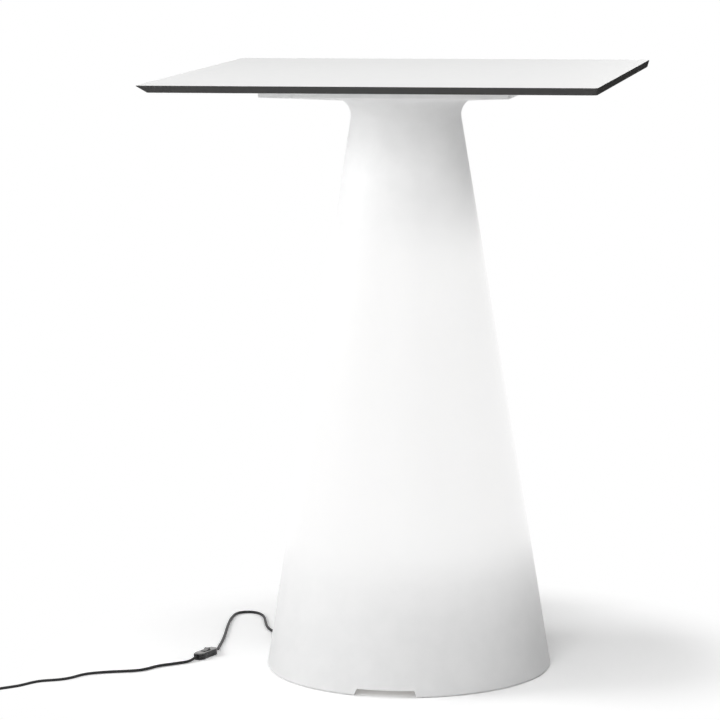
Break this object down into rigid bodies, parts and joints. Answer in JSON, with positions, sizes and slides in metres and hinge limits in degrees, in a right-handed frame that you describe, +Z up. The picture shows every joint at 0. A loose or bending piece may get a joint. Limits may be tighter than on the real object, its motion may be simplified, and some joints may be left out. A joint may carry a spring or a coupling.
{
  "type": "illuminated bar table",
  "caption": "Light-up bar table: square white laminate top on a translucent, hourglass-shaped lit base, with a black mains cord, inline rocker switch and plug.",
  "frame": {"origin": "on the floor under the middle of the base, which is the bottom centre of the table without its cord", "axes": "+Z up; the sides of the square top run along X and Y; -Y faces the front, where the foot rim has its notch"},
  "size_m": [1.2828, 0.8, 1.1],
  "materials": {
    "laminate": "compact laminate: smooth white face over a dense black core, cut edge satin",
    "lit_shell": "translucent moulded polyethylene, faintly grained, lit from inside",
    "black_plastic": "black moulded plastic, satin",
    "cord_sheath": "black vinyl sheath, satin",
    "black_rubber": "matt rubber",
    "steel": "zinc plated",
    "ballast_paint": "steel under matt black paint",
    "aluminium": "extruded, satin",
    "brass": "turned",
    "nickel": "nickel plate",
    "circuit_board": "white solder resist",
    "opal_plastic": "opal, lets light through",
    "white_plastic": "white moulded plastic",
    "ferrite": "varnished core and tape"
  },
  "bodies": {
    "root": {"table_top": "laminate", "top_insert_1": "brass", "top_insert_2": "brass", "top_insert_3": "brass", "top_insert_4": "brass", "switch_contact_blade": "brass", "top_screw_1": "steel", "top_screw_2": "steel", "top_screw_3": "steel", "top_screw_4": "steel", "cover_screw_1": "steel", "cover_screw_2": "steel", "cover_screw_3": "steel", "cover_screw_4": "steel", "ballast_bolt_1": "steel", "ballast_bolt_2": "steel", "ballast_bolt_3": "steel", "foot_screw_1": "steel", "foot_screw_2": "steel", "driver_screw_1": "steel", "driver_screw_2": "steel", "switch_pivot_pin": "steel", "switch_screw_1": "steel", "switch_screw_2": "steel", "base_shell": "lit_shell", "gland_body": "black_plastic", "gland_nut": "black_plastic", "switch_lower_shell": "black_plastic", "switch_upper_shell": "black_plastic", "plug_body": "black_plastic", "coil_tie": "black_plastic", "driver_capacitor": "black_plastic", "ballast_disc": "ballast_paint", "mast_foot": "aluminium", "lamp_mast": "aluminium", "driver_case": "aluminium", "driver_lid": "aluminium", "led_board_1": "circuit_board", "led_board_2": "circuit_board", "led_board_3": "circuit_board", "led_board_4": "circuit_board", "driver_board": "circuit_board", "diffuser_tube": "opal_plastic", "bottom_cover": "opal_plastic", "diffuser_lower_cap": "white_plastic", "diffuser_upper_cap": "white_plastic", "terminal_block": "white_plastic", "driver_transformer": "ferrite", "strain_relief": "black_rubber", "inlet_lead": "cord_sheath", "supply_lead": "cord_sheath", "lamp_lead": "cord_sheath", "cord_base_to_switch": "cord_sheath", "cord_switch_to_coil": "cord_sheath", "cord_coil": "cord_sheath", "cord_coil_to_plug": "cord_sheath", "plug_pin_1": "nickel", "plug_pin_2": "nickel"},
    "rocker": {"switch_rocker": "black_plastic"}
  },
  "joints": [
    {"name": "rocker_pivot", "type": "hinge", "parent": "root", "child": "rocker", "pos_m": [-0.386, -0.019, 0.0093], "axis": [-0.9455, 0.3256, 0], "range_deg": [0, 22]}
  ]
}
